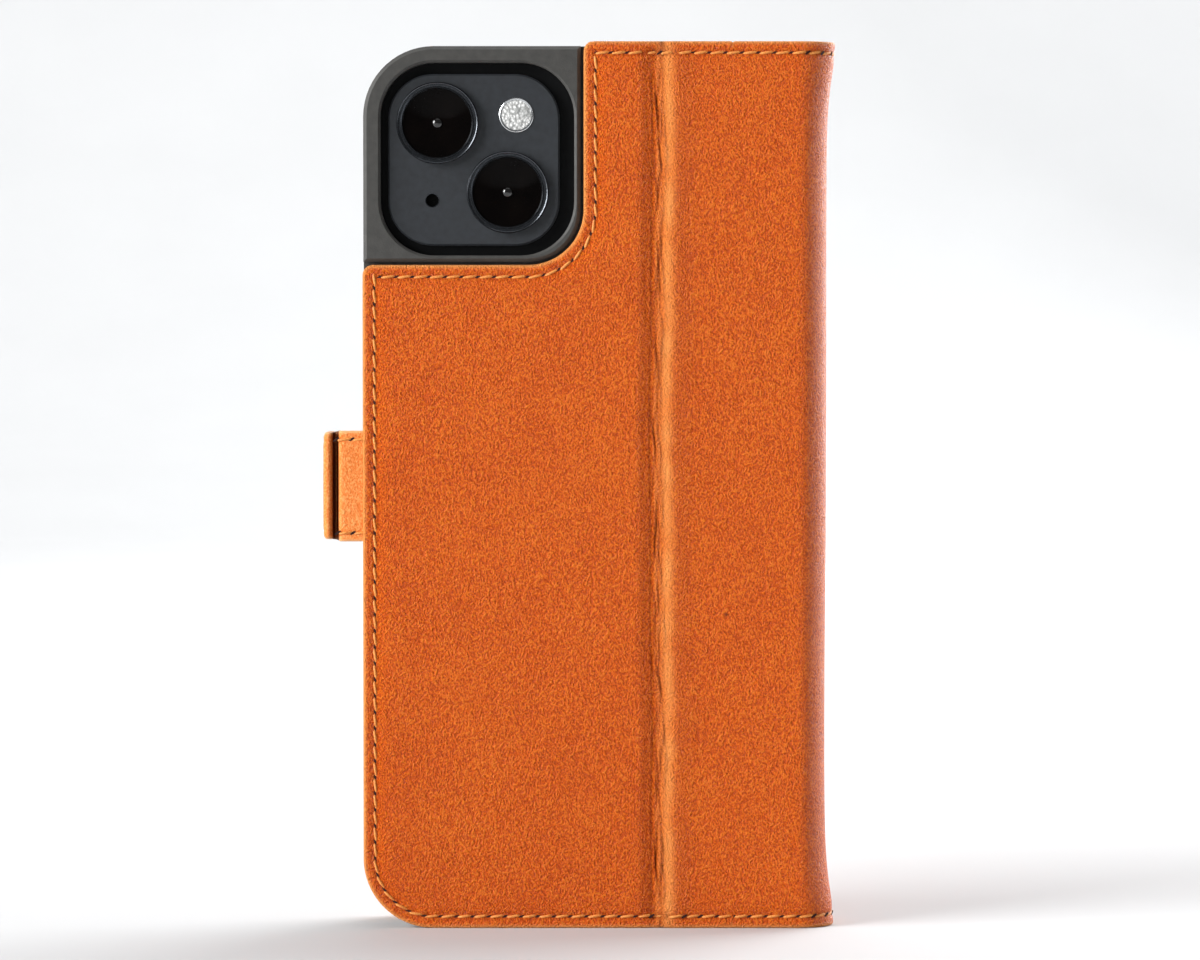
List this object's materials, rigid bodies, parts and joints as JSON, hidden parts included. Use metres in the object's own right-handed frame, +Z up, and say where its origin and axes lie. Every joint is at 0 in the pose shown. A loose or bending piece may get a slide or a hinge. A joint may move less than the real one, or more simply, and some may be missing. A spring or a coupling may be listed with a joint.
{
  "type": "phone wallet case",
  "caption": "Leather folio case with a moulded tray, a camera cut-out, a folding stand crease, card pockets inside the cover and a magnetic clasp strap, shown closed with a phone in it.",
  "frame": {"origin": "middle of the case's footprint on its bottom edge, strap included", "axes": "+X towards the spine seen from the back, +Y from the back panel towards the front cover, +Z up along the long side"},
  "size_m": [0.0875, 0.043, 0.152],
  "materials": {
    "orange_leather": "aniline-dyed full-grain cowhide, semi-gloss",
    "lining_leather": "smooth split leather",
    "stiffener_board": "uncoated card board",
    "glue_film": "cured contact adhesive",
    "grey_shell": "moulded TPU, fine matt texture",
    "phone_aluminium": "anodised, satin",
    "phone_glass": "back glass, satin",
    "screen_glass": "polished",
    "camera_glass": "satin glass",
    "lens_black": "coated optical glass",
    "lens_metal": "anodised, polished chamfer",
    "flash_white": "prismatic polycarbonate",
    "mic_black": "woven mesh",
    "magnet_steel": "nickel plated"
  },
  "bodies": {
    "phone_side": {"back_leather": "orange_leather", "back_board": "stiffener_board", "back_lining": "lining_leather", "tray_adhesive": "glue_film", "phone_tray": "grey_shell", "phone_back_glass": "phone_glass", "phone_frame": "phone_aluminium", "phone_screen": "screen_glass", "camera_plate": "camera_glass", "lens_rings": "lens_metal", "lens_glass": "lens_black", "flash_lens": "flash_white", "mic_mesh": "mic_black", "strap_root": "orange_leather"},
    "stand_flap": {"flap_leather": "orange_leather", "flap_board": "stiffener_board", "flap_lining": "lining_leather"},
    "spine": {"spine_leather": "orange_leather", "spine_board": "stiffener_board", "spine_lining": "lining_leather"},
    "front_cover": {"cover_leather": "orange_leather", "cover_board": "stiffener_board", "clasp_plate": "magnet_steel", "cover_lining": "lining_leather", "cash_pocket": "lining_leather", "card_pocket_upper": "lining_leather", "card_pocket_middle": "lining_leather", "card_pocket_lower": "lining_leather"},
    "strap_side": {"strap_side_outer": "orange_leather", "strap_side_inner": "orange_leather"},
    "strap_tip": {"clasp_magnet": "magnet_steel", "strap_tip_outer": "orange_leather", "strap_tip_inner": "orange_leather"},
    "side_key": {"side_key_pad": "grey_shell"},
    "volume_up": {"volume_up_pad": "grey_shell"},
    "volume_down": {"volume_down_pad": "grey_shell"}
  },
  "joints": [
    {"name": "spine_fold", "type": "hinge", "parent": "stand_flap", "child": "spine", "pos_m": [0.0406, -0.0192, 0.076], "axis": [0, 0, -1], "range_deg": [0, 135]},
    {"name": "stand_crease", "type": "hinge", "parent": "phone_side", "child": "stand_flap", "pos_m": [0.0125, -0.0204, 0.076], "axis": [0, 0, -1], "range_deg": [0, 45]},
    {"name": "cover_open", "type": "hinge", "parent": "spine", "child": "front_cover", "pos_m": [0.0418, -0.0047, 0.076], "axis": [0, 0, -1], "range_deg": [0, 180]},
    {"name": "strap_swing", "type": "hinge", "parent": "phone_side", "child": "strap_side", "pos_m": [-0.0416, -0.0195, 0.07595], "axis": [0, 0, 1], "range_deg": [0, 100]},
    {"name": "strap_fold", "type": "hinge", "parent": "strap_side", "child": "strap_tip", "pos_m": [-0.04275, -0.00235, 0.07595], "axis": [0, 0, 1], "range_deg": [-90, 60]},
    {"name": "side_key_press", "type": "slide", "parent": "phone_side", "child": "side_key", "axis": [1, 0, 0], "range_m": [0, 0.0004], "stiffness_N_per_m": 400},
    {"name": "volume_up_press", "type": "slide", "parent": "phone_side", "child": "volume_up", "axis": [-1, 0, 0], "range_m": [0, 0.0004], "stiffness_N_per_m": 400},
    {"name": "volume_down_press", "type": "slide", "parent": "phone_side", "child": "volume_down", "axis": [-1, 0, 0], "range_m": [0, 0.0004], "stiffness_N_per_m": 400}
  ],
  "couplings": [
    {"joint": "stand_crease", "follows": "spine_fold", "ratio": 0.33333}
  ]
}
